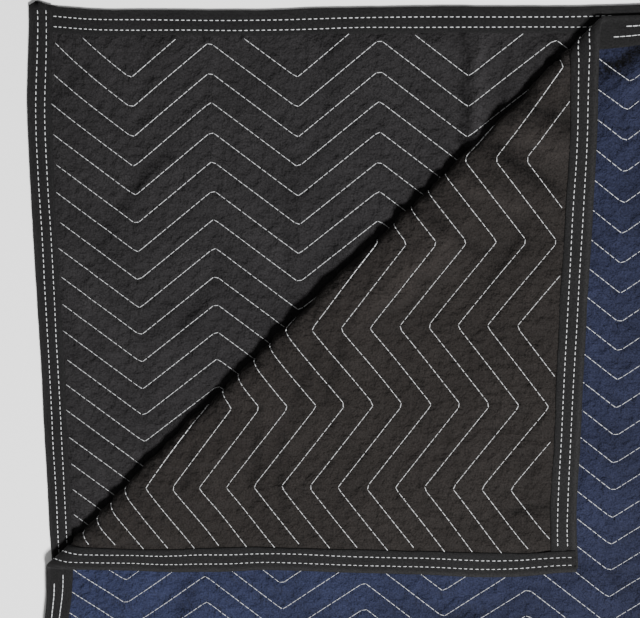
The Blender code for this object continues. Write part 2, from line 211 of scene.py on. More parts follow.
def oval_arc(oval):
    """Lengths along a quarter of an oval of height 1, and the angles that they reach."""
    angles = np.linspace(0.0, 0.5 * math.pi, 200)
    middles = 0.5 * (angles[1:] + angles[:-1])
    steps = np.hypot(oval * np.sin(middles), np.cos(middles)) * np.diff(angles)
    return np.concatenate([[0.0], np.cumsum(steps)]), angles


def fold_profile(s, low, high, oval, drop, run):
    """Distance from the fold's outermost line, and height, of cloth a length s past its start."""
    lengths, angles = oval_arc(oval)
    first = 0.5 * math.pi * low
    second = first + lengths[-1] * high
    rise = np.clip(s, 0.0, first) / low
    turn = np.interp((np.clip(s, first, second) - first) / high, lengths, angles)
    q = np.clip(s - second, 0.0, run)
    past = np.maximum(s - second - run, 0.0)
    tilt = 2.0 * drop / run
    wave = 2.0 * math.pi * q / run
    ripple = run / (4.0 * math.pi) * np.sin(wave)
    square = q / 2.0 - ripple
    fourth = 3.0 * q / 8.0 - ripple + run / (32.0 * math.pi) * np.sin(2.0 * wave)
    out = low - np.minimum(s, 0.0) - low * np.sin(rise) + oval * high * (1.0 - np.cos(turn))
    out += q - 0.5 * tilt * tilt * fourth + past
    height = low * (1.0 - np.cos(rise)) + high * np.sin(turn) - tilt * square
    return out, height


def end_fold(s):
    """The half fold at the right, where the two layers join."""
    radius = END_FOLD_RADIUS
    return fold_profile(s, radius, radius, 1.0, 2.0 * radius - LAYER_PITCH, END_FOLD_RUN)


END_ARC = math.pi * END_FOLD_RADIUS
END_LENGTH = END_ARC + END_FOLD_RUN
END_OUT = float(end_fold(np.array(END_LENGTH))[0])
FOLD_X = (END_OUT + CLOTH_LENGTH + END_FOLD_RADIUS - END_LENGTH - TOP_OVERHANG) / 2.0
FOLD_START = FOLD_X - END_FOLD_RADIUS
TOP_MIRROR = CLOTH_LENGTH - TOP_OVERHANG
DIAGONAL_SUM = TOP_MIRROR - TOP_SLIP - DIAGONAL

# The frame's origin, from the outermost faces of its navy ply
CORNER_LIFT = 0.0056
NAVY_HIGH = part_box("face_blue")[1]
ORIGIN = np.array([NAVY_HIGH.x - FOLD_X - FACE, NAVY_HIGH.y - CORNER_LIFT, 0.0])


def turned_back(x, y):
    """Carry the upper layer's corner over the diagonal; gives the new place and the lift."""
    across = (x - y - DIAGONAL) / math.sqrt(2.0)
    along = (x + y) / math.sqrt(2.0)
    full = smooth(along, *FULL_FROM) * (1.0 - THINNING * smooth(along, *THIN_TO))
    low = DIAGONAL_LOW[0] + (DIAGONAL_LOW[1] - DIAGONAL_LOW[0]) * full
    high = DIAGONAL_HIGH[0] + (DIAGONAL_HIGH[1] - DIAGONAL_HIGH[0]) * full
    drop = low + high - LAYER_PITCH
    s = low - across
    s = s - DIAGONAL_TUCK * smooth(s, -TUCK_RUN, 0.0)
    back, lift = fold_profile(s, low, high, DIAGONAL_OVAL, drop, DIAGONAL_RUN)
    x = (math.sqrt(2.0) * (along + back) + DIAGONAL) / 2.0
    y = (math.sqrt(2.0) * (along - back) - DIAGONAL) / 2.0
    return x, y, lift


def cloth_middle(u, v):
    """Where the middle of the cloth lies once it is folded."""
    out, z = end_fold(u - FOLD_START)
    x = FOLD_X - out
    y = v + TOP_SLIP * smooth(u, *SLIP_SPAN)
    turned_x, turned_y, lift = turned_back(x, y)
    top = u > 0.5 * CLOTH_LENGTH
    x = np.where(top, turned_x, x)
    y = np.where(top, turned_y, y)
    z = z + np.where(top, lift, 0.0)
    for push in PUSHES:
        share = np.exp(-((u - push["u"]) ** 2 + (v - push["v"]) ** 2) / push["reach"] ** 2)
        x = x + push["x"] * share
        y = y + push["y"] * share
    return np.stack([x, y, z + FACE], axis=-1)


def fold_cloth(u, v, w):
    """Carry flat cloth points to their place in the frame."""
    step = 1e-4
    du = cloth_middle(u + step, v) - cloth_middle(u - step, v)
    dv = cloth_middle(u, v + step) - cloth_middle(u, v - step)
    normal = np.cross(du, dv)
    normal /= np.linalg.norm(normal, axis=-1)[..., None]
    points = cloth_middle(u, v) + normal * w[..., None] + ORIGIN
    return np.concatenate([points[..., :2], pressed_flat(points[..., 2:])], axis=-1)


def pressed_flat(z):
    """Heights with all that would sink into the floor squashed just above it."""
    sunk = np.minimum(z - FLOOR_CLEAR - FLOOR_SQUASH, 0.0)
    squashed = FLOOR_CLEAR + FLOOR_SQUASH * np.exp(sunk / FLOOR_SQUASH)
    return np.where(z < FLOOR_CLEAR + FLOOR_SQUASH, squashed, z)


def zigzag_turns():
    """Places along the cloth where the zigzag turns, and the line's height there."""
    place = FIRST_LOW - PITCHES[0]
    places = [place]
    for column in range(TURN_COLUMNS):
        pitch = PITCHES[0] if column < NEAR_COLUMNS else PITCHES[1]
        places += [place + 0.5 * pitch + PEAK_SHIFT, place + pitch]
        place += pitch
    heights = [ZIGZAG_HEIGHT * (index % 2) for index in range(len(places))]
    return np.array(places), np.array(heights)


TURN_PLACES, TURN_HEIGHTS = zigzag_turns()


def zigzag(u):
    """Height of a quilting line over its low points, with slightly rounded tips."""
    line = np.interp(u, TURN_PLACES, TURN_HEIGHTS)
    nearest = np.abs(u[..., None] - TURN_PLACES).argmin(axis=-1)
    distance = np.abs(u - TURN_PLACES[nearest])
    inward = np.where(TURN_HEIGHTS[nearest] > 0.0, -1.0, 1.0)
    return line + inward * SLOPE * np.maximum(TIP_RADIUS - distance, 0.0) ** 2 / (2.0 * TIP_RADIUS)


def row_of(u, v):
    """Rows of quilting counted upwards from the first; whole numbers are stitch lines."""
    return (v - zigzag(u) - FIRST_ROW) / ROW_PITCH


def noise(x, y, seed):
    """Smooth random values from -1 to 1, with a knot at each whole x and y."""
    knots = np.random.default_rng(seed).uniform(-1.0, 1.0, (256, 256))
    left = np.floor(x).astype(int)
    low = np.floor(y).astype(int)
    across = smooth(x - left, 0.0, 1.0)
    up = smooth(y - low, 0.0, 1.0)

    def knot(i, j):
        return knots[(left + i) % 256, (low + j) % 256]

    near = knot(0, 0) + across * (knot(1, 0) - knot(0, 0))
    far = knot(0, 1) + across * (knot(1, 1) - knot(0, 1))
    return near + up * (far - near)


def shown(u, v, side):
    """1 where a ply's outer face can be seen from above, 0 where it is covered."""
    past = (u + v - DIAGONAL_SUM) / math.sqrt(2.0)
    if side == "black":
        near = (u < FOLD_START) * smooth(DIAGONAL - u + v, -0.008, 0.006)
        return near + (u > FOLD_START) * smooth(past, 0.002, 0.016)
    x = TOP_MIRROR - u
    y = v + TOP_SLIP
    covered = smooth(x, FLAP_EDGE["x"] + 0.004, FLAP_EDGE["x"] - 0.022)
    covered = covered * smooth(y, FLAP_EDGE["y"] - 0.004, FLAP_EDGE["y"] + 0.022)
    turned = smooth(past, -0.010, 0.0)
    return (u > FOLD_START) * (1.0 - covered) * (1.0 - turned)


def crease_relief(u, v, side):
    """Height that the listed creases add."""
    past = u + v - DIAGONAL_SUM
    middle = cloth_middle(u, v)
    relief = np.zeros_like(u)
    groups = {"black": ((u < FOLD_START), u, v), "flap": ((past > 0.0), middle[..., 0], middle[..., 1])}
    if side == "blue":
        groups = {"blue": ((past < 0.0) & (u > FOLD_START), middle[..., 0], middle[..., 1])}
    for name, (inside, across, up) in groups.items():
        for index, crease in enumerate(CREASES[name]):
            turn = math.radians(crease["turn"])
            dx = across - crease.get("u", crease.get("x"))
            dy = up - crease.get("v", crease.get("y"))
            along = dx * math.cos(turn) + dy * math.sin(turn)
            aside = dy * math.cos(turn) - dx * math.sin(turn)
            line = np.full_like(aside, index)
            aside = aside + 0.6 * crease["width"] * noise(along / 0.018, line, 71)
            share = np.exp(-(along / crease["length"]) ** 4 - (aside / crease["width"]) ** 2)
            relief = relief + inside * CREASE_STRENGTH * crease["height"] * share
    return relief


def pillow(u, v):
    """0 on a line of quilting, rising round to 1 midway between two lines."""
    row = row_of(u, v)
    nearest = np.clip(np.round(row), 1.0 - ROWS, 0.0)
    share = np.clip(2.0 * np.abs(row - nearest), 0.0, 1.0)
    return 1.0 - (1.0 - share) ** 2


def face_height(u, v, side):
    """Height of a ply's outer face: quilting, drag marks, creases and pressed edges."""
    sizes = bpy.context.scene.blanket_quilting
    raised = pillow(u, v)
    seen = shown(u, v, side)
    seed = 3 if side == "black" else 4
    along = u * math.hypot(1.0, SLOPE)
    aside = row_of(u, v) * BAND
    crumple = noise(u / 0.021, v / 0.019, seed) + 0.7 * noise(u / 0.011, v / 0.012, seed + 10)
    drag = noise(along / 0.0095, aside / 0.034, seed + 20)
    drag = drag + 0.6 * noise(along / 0.018, aside / 0.05, seed + 30)
    swell = noise(u / 0.085, v / 0.095, seed + 40)
    height = sizes.valley + (FACE - sizes.valley + sizes.fullness * seen) * raised
    height = height + seen * sizes.crumple * crumple * raised
    height = height + seen * sizes.drag * drag * (0.1 + 0.9 * raised)
    height = height + seen * sizes.swell * swell * raised
    height = height + seen * crease_relief(u, v, side) * (0.3 + 0.7 * raised)
    free_end = smooth(np.minimum(u, CLOTH_LENGTH - u), LEGS[side] + FREE_FROM, LEGS[side] + FREE_RISE)
    free_side = smooth(np.minimum(-v, CLOTH_WIDTH + v), LEGS[side] + FREE_FROM, LEGS[side] + FREE_RISE)
    at_end = smooth(np.minimum(u, CLOTH_LENGTH - u), *END_ZONE)
    at_side = smooth(np.minimum(-v, CLOTH_WIDTH + v), *END_ZONE)
    height = np.maximum(height, LEAST_FACE)
    pressed = PRESSED_CORNER + (PRESSED - PRESSED_CORNER) * np.maximum(at_end, at_side)
    return pressed + (height - pressed) * free_end * free_side


# Grid steps along the cloth, and the stretch of black face that lies between the layers
ARC_STEP = 0.0036
SHOWN_STEP = 0.0064
BLACK_HIDDEN = (0.66, 1.37)


def lines_between(stops, step_at):
    """Grid lines through every stop, with gaps no wider than step_at asks for there."""
    lines = [stops[0]]
    for near, far in zip(stops[:-1], stops[1:]):
        parts = max(1, math.ceil((far - near) / step_at(0.5 * (near + far)) - 1e-6))
        lines += [near + (far - near) * part / parts for part in range(1, parts + 1)]
    return np.array(lines)


def along_lines(side):
    """Grid lines across the cloth, finest where its outer face shows."""
    arc_end = FOLD_START + END_ARC
    start = PLY_INSET
    end = CLOTH_LENGTH - PLY_INSET

    def step_at(u):
        if FOLD_START < u < arc_end:
            return ARC_STEP
        if side == "black":
            return SHOWN_STEP if u < BLACK_HIDDEN[0] or u > BLACK_HIDDEN[1] else 0.030
        return SHOWN_STEP if u > arc_end else 0.016

    stops = {start, FOLD_START, arc_end, end}
    stops |= {float(place) for place in TURN_PLACES if start < place < end}
    if side == "black":
        stops |= set(BLACK_HIDDEN)
    return lines_between(sorted(stops), step_at)


def row_offsets(side):
    """Heights of the lengthwise grid lines over the first row of quilting."""
    if side == "black":
        fine = (0.0, 0.07, 0.18, 0.33, 0.50, 0.67, 0.82, 0.93)
        sparse = (0.0, 0.5)
        above = 14
    else:
        fine = (0.0, 0.14, 0.38, 0.62, 0.86)
        sparse = fine
        above = 11
    offsets = [ZIGZAG_HEIGHT * (1.0 - step / above) for step in range(above)]
    for row in range(ROWS):
        shares = fine if row < 21 else sparse
        offsets += [-ROW_PITCH * (row + share) for share in shares]
    lowest = -CLOTH_WIDTH - FIRST_ROW - ZIGZAG_HEIGHT
    offsets = [offset for offset in offsets if offset > lowest + 0.001]
    return np.array(offsets + [lowest])


def ply_grid(side):
    """Flat places of a ply's grid, whose lengthwise lines follow the zigzag."""
    squeeze = 0.0003
    across = along_lines(side)
    offsets = row_offsets(side)
    u, offset = np.meshgrid(across, offsets, indexing="ij")
    count = np.arange(len(offsets))
    v = FIRST_ROW + zigzag(u) + offset
    v = np.minimum(v, -PLY_INSET - squeeze * count)
    v = np.maximum(v, PLY_INSET - CLOTH_WIDTH + squeeze * (len(offsets) - 1 - count))
    return u, v


def kept_lines(places, gap):
    """Numbers of the lines that the ply's inner face keeps, first and last among them."""
    kept = [0]
    for index in range(1, len(places) - 1):
        if places[index + 1] - places[kept[-1]] > gap:
            kept.append(index)
    return kept + [len(places) - 1]


def grid_faces(numbers, reverse):
    """Quads over a grid of vertex numbers."""
    corners = (numbers[:-1, :-1], numbers[:-1, 1:], numbers[1:, 1:], numbers[1:, :-1])
    quads = np.stack([corner.ravel() for corner in corners], axis=1)
    return (quads[:, ::-1] if reverse else quads).tolist()


def rim_faces(outer, inner, kept, reverse):
    """Triangles between a fine border line and the sparser one below it."""
    faces = []
    for index in range(len(kept) - 1):
        near = kept[index]
        far = kept[index + 1]
        middle = (near + far) // 2
        for step in range(near, far):
            foot = inner[index] if step < middle else inner[index + 1]
            faces.append((outer[step], outer[step + 1], foot))
        faces.append((inner[index], outer[middle], inner[index + 1]))
    return [face[::-1] for face in faces] if reverse else faces


def new_piece(name, points, faces, material):
    """A mesh object with its faces pointing outwards, riding on the blanket."""
    mesh = bpy.data.meshes.new(name)
    mesh.from_pydata(points.tolist(), [], faces)
    bm = bmesh.new()
    bm.from_mesh(mesh)
    bmesh.ops.recalc_face_normals(bm, faces=bm.faces[:])
    if bm.calc_volume(signed=True) < 0.0:
        bmesh.ops.reverse_faces(bm, faces=bm.faces[:])
    bm.to_mesh(mesh)
    bm.free()
    mesh.shade_smooth()
    mesh.materials.append(material)
    piece = bpy.data.objects.new(name, mesh)
    bpy.context.scene.collection.objects.link(piece)
    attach(piece, "root")
    return piece


def add_map(piece, name, places):
    """A UV map whose places are given for each vertex."""
    loops = np.zeros(len(piece.data.loops), int)
    piece.data.loops.foreach_get("vertex_index", loops)
    layer = piece.data.uv_layers.new(name=name)
    layer.data.foreach_set("uv", places[loops].astype(np.float32).ravel())


def build_ply(name, side, material):
    """One ply of cloth: quilted outer face, plain inner face and a rim between them."""
    sign = 1.0 if side == "black" else -1.0
    u, v = ply_grid(side)
    keep_u = kept_lines(u[:, 0], 0.0100 if side == "black" else 0.0135)
    keep_v = kept_lines(-row_offsets(side), 0.0145)
    inner_u = u[np.ix_(keep_u, keep_v)]
    inner_v = v[np.ix_(keep_u, keep_v)]
    outer = np.arange(u.size).reshape(u.shape)
    inner = np.arange(inner_u.size).reshape(inner_u.shape) + u.size
    faces = grid_faces(outer, side == "blue") + grid_faces(inner, side == "black")
    faces += rim_faces(outer[:, 0], inner[:, 0], keep_u, False)
    faces += rim_faces(outer[:, -1], inner[:, -1], keep_u, True)
    faces += rim_faces(outer[0], inner[0], keep_v, True)
    faces += rim_faces(outer[-1], inner[-1], keep_v, False)
    flat_u = np.concatenate([u.ravel(), inner_u.ravel()])
    flat_v = np.concatenate([v.ravel(), inner_v.ravel()])
    height = np.concatenate([face_height(u, v, side).ravel(), np.full(inner_u.size, HALF_GAP)])
    points = fold_cloth(flat_u, flat_v, sign * height)
    piece = new_piece(name, points, faces, material)
    add_map(piece, "cloth", np.stack([flat_u, flat_v], axis=1))
    rows = np.minimum(row_of(flat_u, flat_v), 0.5) * BAND
    add_map(piece, "quilting", np.stack([flat_u * math.hypot(1.0, SLOPE), rows], axis=1))
    # The creases' heights, kept for painted shade in their hollows and painted light on their ridges
    relief = np.concatenate([crease_relief(u, v, side).ravel(), np.zeros(inner_u.size)])
    layer = piece.data.attributes.new("painted_crease_shading", "FLOAT", "POINT")
    layer.data.foreach_set("value", (relief / CREASE_FULL).astype(np.float32))
    return piece


# Edge strips
def strip_fold(edge, run):
    """Depth of a strip's outer fold: a little outside the cloth, further out past the turned corner."""
    return STRIP_FOLDS[edge] + (edge == "top") * TOP_FOLD_SHIFT * smooth(run, *SLIP_SPAN)


def strip_top(edge, depth, run, side):
    """Height of a strip's outer face, pressed down along its two rows of stitches."""
    sizes = bpy.context.scene.blanket_edging
    seed = strip_seed(edge)
    height = STRIP_INSIDE + sizes.thickness + 0.0003 * np.sin(math.pi * np.clip(depth / LEGS[side], 0, 1))
    for row in STITCH_ROWS:
        height = height - sizes.dimple * np.exp(-((depth - strip_fold(edge, run) - row) / 0.0016) ** 2)
    wrinkle = noise(run / 0.009, depth / 0.016, seed) + 0.8 * noise(run / 0.023, depth / 0.05, seed + 5)
    return height + sizes.wrinkle * wrinkle * smooth(depth, 0.0, 0.006)


def strip_ring(edge, run):
    """The closed outline of a strip across the edge, at each place along it."""
    sizes = bpy.context.scene.blanket_edging
    seed = strip_seed(edge)
    rise = strip_rise(edge, run)
    still = np.zeros_like(run)
    waver = sizes.waver * (noise(run / 0.045, still, seed + 7) + 0.4 * noise(run / 0.012, still, seed + 8))
    fold = strip_fold(edge, run) + 0.5 * waver
    ring = []

    def side_points(side, sign):
        leg = LEGS[side] + waver
        shares = (1.0, 0.975, 0.90, 0.81, 0.72, 0.60, 0.49, 0.405, 0.32, 0.22, 0.13)
        found = []
        for share in shares:
            depth = fold + (leg - fold) * share
            top = strip_top(edge, depth, run, side)
            if share == 1.0:
                top = STRIP_INSIDE + 0.35 * (top - STRIP_INSIDE)
            found.append((depth, sign * (top + rise)))
        return found

    black = side_points("black", 1.0)
    blue = side_points("blue", -1.0)
    shoulder = black[-1][1]
    ring += black
    for turn in (55, 25, 0, -25, -55):
        angle = math.radians(turn)
        reach = 0.0030
        ring.append((fold + reach * (1.0 - math.cos(angle)), shoulder * 0.92 * math.sin(angle)))
    ring += blue[::-1]
    outer = len(ring)
    inside = STRIP_INSIDE + rise
    ring.append((LEGS["blue"] + waver, -inside))
    ring.append((0.5 * LEGS["blue"] + still, -inside))
    ring.append((fold + 0.0018, -inside))
    ring.append((fold + 0.0012, still))
    ring.append((fold + 0.0018, inside))
    ring.append((0.5 * LEGS["black"] + still, inside))
    ring.append((LEGS["black"] + waver, inside))
    depth = np.stack([point[0] for point in ring], axis=1)
    height = np.stack([point[1] for point in ring], axis=1)
    return depth, height, outer


def strip_seed(edge):
    """Seed of a strip's own random draws."""
    return 100 + 10 * list(STRIPS).index(edge)


STRIPS = {
    "left": {"node": "binding_left", "long": CLOTH_WIDTH},
    "right": {"node": "binding_right", "long": CLOTH_WIDTH},
    "top": {"node": "binding_top", "long": CLOTH_LENGTH},
    "bottom": {"node": "binding_bottom", "long": CLOTH_LENGTH},
}


def strip_place(edge, run, depth):
    """Flat cloth place of a point a run along an edge and a depth in from it."""
    if edge == "left":
        return depth, -run
    if edge == "right":
        return CLOTH_LENGTH - depth, -run
    if edge == "top":
        return run, -depth
    return run, depth - CLOTH_WIDTH


def strip_rise(edge, run):
    """How much a strip lies higher or lower where two strips cross at a corner."""
    at_corner = 1.0 - smooth(np.minimum(run, STRIPS[edge]["long"] - run), *END_ZONE)
    return (OVER_RISE if edge in ("left", "right") else UNDER_DROP) * at_corner


def strip_runs(edge):
    """Places of a strip's stations, closest together where it goes round a fold."""
    long = STRIPS[edge]["long"]
    inset = -0.0008 if edge in ("left", "right") else PLY_INSET - 0.0004
    folds = []
    if edge in ("top", "bottom"):
        folds.append((FOLD_START - 0.004, FOLD_START + END_ARC + 0.01, 0.0026))
    if edge == "right":
        folds.append((CLOTH_LENGTH - DIAGONAL_SUM - 0.09, CLOTH_LENGTH - DIAGONAL_SUM + 0.03, 0.0026))
    if edge == "top":
        folds.append((DIAGONAL_SUM - 0.03, DIAGONAL_SUM + 0.16, 0.0030))
    stops = {inset, long - inset, *END_ZONE, long - END_ZONE[0], long - END_ZONE[1]}
    for near, far, _step in folds:
        stops |= {near, far}

    def step_at(run):
        steps = [step for near, far, step in folds if near <= run <= far]
        return min(steps + [0.0062])

    return lines_between(sorted(stops), step_at)


def build_strip(edge, material):
    """A doubled strip of cloth wrapped over one edge, lofted along it."""
    run = strip_runs(edge)
    depth, height, outer = strip_ring(edge, run)
    runs = np.repeat(run[:, None], depth.shape[1], axis=1)
    if edge == "left":
        tip = 0.0045 * np.exp(-((depth[0] - 0.009) / 0.006) ** 2)
        runs[0] = runs[0] - tip
    u, v = strip_place(edge, runs, depth)
    points = fold_cloth(u, v, height).reshape(-1, 3)
    numbers = np.arange(depth.size).reshape(depth.shape)
    closed = np.concatenate([numbers, numbers[:, :1]], axis=1)
    faces = grid_faces(closed, False)
    for row in (numbers[0], numbers[-1]):
        faces += end_cap(row.tolist(), outer)
    piece = new_piece("edge_" + edge, points, faces, material)
    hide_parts(STRIPS[edge]["node"])
    flat = np.stack([runs.ravel(), (depth * np.sign(height)).ravel()], axis=1)
    add_map(piece, "cloth", flat)
    return piece


def end_cap(ring, outer):
    """Close a strip's end between its outer line and its inner line."""
    front = ring[:outer]
    back = ring[outer:][::-1]
    faces = []
    place = 0
    for index in range(len(front) - 1):
        target = round(index * (len(back) - 1) / (len(front) - 2)) if len(front) > 2 else 0
        while place < target:
            faces.append((front[index], back[place], back[place + 1]))
            place += 1
        faces.append((front[index], front[index + 1], back[place]))
    return faces


# Stitches
def stitch_mesh(starts, ends, surface, sign, width, rise):
    """Points and faces of many small bars of thread, each sunk into the cloth at both ends."""
    line = ends - starts
    length = np.linalg.norm(line, axis=1)[:, None]
    aside = np.stack([-line[:, 1], line[:, 0]], axis=1) / length
    taper = np.minimum(STITCH_TAPER / length, 0.4)
    points = []
    for share, half, lift in (
        (0.0, 0.0, -STITCH_SINK), (taper, 1.0, 0.0), (1.0 - taper, 1.0, 0.0), (1.0, 0.0, -STITCH_SINK)
    ):
        middle = starts + share * line
        base = surface(middle[:, 0], middle[:, 1]) + lift
        sides = ((0.0, 0.0),) if half == 0.0 else ((-1.0, 0.0), (0.0, 1.0), (1.0, 0.0))
        for across, up in sides:
            place = middle + aside * (across * half * width * sign)
            points.append((place[:, 0], place[:, 1], sign * (base + up * rise)))
    u = np.stack([point[0] for point in points], axis=1)
    v = np.stack([point[1] for point in points], axis=1)
    w = np.stack([point[2] for point in points], axis=1)
    folded = fold_cloth(u, v, w).reshape(-1, 3)
    bar = [(0, 2, 1), (0, 3, 2), (0, 1, 3), (7, 4, 5), (7, 5, 6), (7, 6, 4)]
    bar += [(1, 2, 5, 4), (2, 3, 6, 5), (3, 1, 4, 6)]
    faces = []
    for first in range(0, len(folded), 8):
        faces += [tuple(first + corner for corner in face) for face in bar]
    return folded, faces


def quilting_stitches(side, inside):
    """Ends of the quilting stitches on one face of the blanket, where inside(u, v) holds."""
    sizes = bpy.context.scene.blanket_thread
    fine = np.arange(0.0, CLOTH_LENGTH, 0.0005)
    height = zigzag(fine)
    path = np.concatenate([[0.0], np.cumsum(np.hypot(np.diff(fine), np.diff(height)))])
    starts = []
    ends = []
    random = np.random.default_rng(31 if side == "black" else 32)
    for row in range(ROWS):
        count = int(path[-1] / sizes.quilting_pitch)
        first = (np.arange(count) + random.uniform()) * sizes.quilting_pitch
        first = first + random.normal(0.0, 0.0002, count)
        length = sizes.quilting_pitch * (sizes.quilting_share + random.uniform(-0.05, 0.05, count))
        last = np.minimum(first + length, path[-1])
        for group, places in ((starts, first), (ends, last)):
            u = np.interp(places, path, fine)
            group.append(np.stack([u, zigzag(u) + FIRST_ROW - row * ROW_PITCH], axis=1))
    starts = np.concatenate(starts)
    ends = np.concatenate(ends)
    middle = 0.5 * (starts + ends)
    u = middle[:, 0]
    v = middle[:, 1]
    free = LEGS[side] + 0.0015
    keep = (u > free) & (u < CLOTH_LENGTH - free) & (-v > free) & (CLOTH_WIDTH + v > free)
    keep &= inside(u, v)
    return starts[keep], ends[keep]


def build_quilting_thread(name, side, inside, material):
    """The quilting stitches of one visible face as a single piece."""
    sizes = bpy.context.scene.blanket_thread
    sign = 1.0 if side == "black" else -1.0
    starts, ends = quilting_stitches(side, inside)
    width = 0.5 * sizes.quilting_width
    points, faces = stitch_mesh(
        starts, ends, lambda u, v: face_height(u, v, side), sign, width, sizes.quilting_width
    )
    return new_piece(name, points, faces, material)


def build_edge_thread(edge, material):
    """The two rows of stitches that hold a strip, on both faces where they can be seen."""
    sizes = bpy.context.scene.blanket_thread
    seed = strip_seed(edge)
    random = np.random.default_rng(seed + 3)
    all_points = []
    all_faces = []
    first = 0
    for side, sign in (("black", 1.0), ("blue", -1.0)):
        share = sizes.edge_share if side == "black" else sizes.blue_edge_share
        thick = sizes.edge_width if side == "black" else sizes.blue_edge_width
        for row in STITCH_ROWS:
            trim = 0.004 if edge in ("left", "right") else 0.0262
            count = int((STRIPS[edge]["long"] - 2.0 * trim) / sizes.edge_pitch)
            at = trim + np.arange(count) * sizes.edge_pitch + random.normal(0.0, 0.00012, count)
            sway = strip_fold(edge, at) + 0.0005 * noise(at / 0.06, np.full_like(at, row * 1000.0), seed + 9)
            near = np.stack(strip_place(edge, at, row + sway), axis=1)
            far = np.stack(strip_place(edge, at + share * sizes.edge_pitch, row + sway), axis=1)
            middle = 0.5 * (near + far)
            keep = edge_stitch_shown(middle[:, 0], middle[:, 1], side)

            def surface(u, v, side=side):
                run, depth = strip_run_depth(edge, u, v)
                return strip_top(edge, depth, run, side) + strip_rise(edge, run)

            points, faces = stitch_mesh(near[keep], far[keep], surface, sign, 0.5 * thick, 0.7 * thick)
            all_points.append(points)
            all_faces += [tuple(corner + first for corner in face) for face in faces]
            first += len(points)
    return new_piece("edge_thread_" + edge, np.concatenate(all_points), all_faces, material)


def strip_run_depth(edge, u, v):
    """Run along an edge and depth in from it, of a flat cloth place."""
    if edge == "left":
        return -v, u
    if edge == "right":
        return -v, CLOTH_LENGTH - u
    if edge == "top":
        return u, -v
    return u, v + CLOTH_WIDTH


def edge_stitch_shown(u, v, side):
    """Whether edge stitches on this face can be seen from above or below."""
    if side == "black":
        return shown(u, v, "black") > 0.5
    return (u < FOLD_START) | (shown(u, v, "blue") > 0.3)


# Materials
def add_node(tree, kind, column, row, **values):
    """Add a node on a tidy grid and set its properties and input values."""
    node = tree.nodes.new(kind)
    node.location = (220.0 * column, -180.0 * row)
    for name, value in values.items():
        if hasattr(node, name):
            setattr(node, name, value)
        else:
            node.inputs[name.replace("_", " ")].default_value = value
    return node


def calculate(tree, operation, column, row, first, second=None, third=None):
    """A Math node fed by sockets or numbers; gives its output socket."""
    node = add_node(tree, "ShaderNodeMath", column, row, operation=operation)
    for socket, value in zip(node.inputs, (first, second, third)):
        if isinstance(value, bpy.types.NodeSocket):
            tree.links.new(value, socket)
        elif value is not None:
            socket.default_value = value
    return node.outputs[0]


def new_group(name, inputs, outputs):
    """A shader node group with named sockets."""
    tree = bpy.data.node_groups.new(name, "ShaderNodeTree")
    for label, kind, value in inputs:
        socket = tree.interface.new_socket(label, in_out="INPUT", socket_type=kind)
        if value is not None:
            socket.default_value = value
    for label, kind in outputs:
        tree.interface.new_socket(label, in_out="OUTPUT", socket_type=kind)
    tree.nodes.new("NodeGroupInput").location = (-400, 0)
    tree.nodes.new("NodeGroupOutput").location = (1800, 0)
    return tree


def weave_group():
    """Plain weave with slubs: a height, and a value that darkens the gaps."""
    tree = new_group(
        "blanket_weave",
        [("Place", "NodeSocketVector", None), ("Pitch", "NodeSocketFloat", 0.0014),
         ("Slub", "NodeSocketFloat", 2.4)],
        [("Height", "NodeSocketFloat"), ("Shade", "NodeSocketFloat")],
    )
    source = tree.nodes["Group Input"]
    target = tree.nodes["Group Output"]
    rate = calculate(tree, "DIVIDE", -1, 1, 2.0 * math.pi, source.outputs["Pitch"])
    split = add_node(tree, "ShaderNodeSeparateXYZ", -1, 0)
    tree.links.new(source.outputs["Place"], split.inputs[0])
    warp = calculate(tree, "SINE", 1, 0, calculate(tree, "MULTIPLY", 0, 0, split.outputs["X"], rate))
    weft = calculate(tree, "SINE", 1, 1, calculate(tree, "MULTIPLY", 0, 1, split.outputs["Y"], rate))
    cross = calculate(tree, "MULTIPLY", 2, 0, warp, weft)
    diagonal = calculate(tree, "ADD", 0, 2, split.outputs["X"], split.outputs["Y"])
    rib = calculate(tree, "SINE", 2, 2, calculate(tree, "MULTIPLY", 1, 2, diagonal, rate))
    both = calculate(tree, "MULTIPLY_ADD", 3, 0, cross, 0.7, calculate(tree, "MULTIPLY", 3, 2, rib, 0.3))
    yarn = add_node(tree, "ShaderNodeTexNoise", 2, 4, Scale=520.0, Detail=2.0)
    tree.links.new(source.outputs["Place"], yarn.inputs["Vector"])
    centred = calculate(tree, "SUBTRACT", 3, 4, yarn.outputs[0], 0.5)
    uneven = calculate(tree, "MULTIPLY", 4, 2, centred, source.outputs["Slub"])
    height = calculate(tree, "MULTIPLY_ADD", 5, 0, both, 0.4, uneven)
    tree.links.new(height, target.inputs["Height"])
    shade = calculate(tree, "MULTIPLY_ADD", 5, 2, height, 0.8, 1.0)
    tree.links.new(shade, target.inputs["Shade"])
    return tree


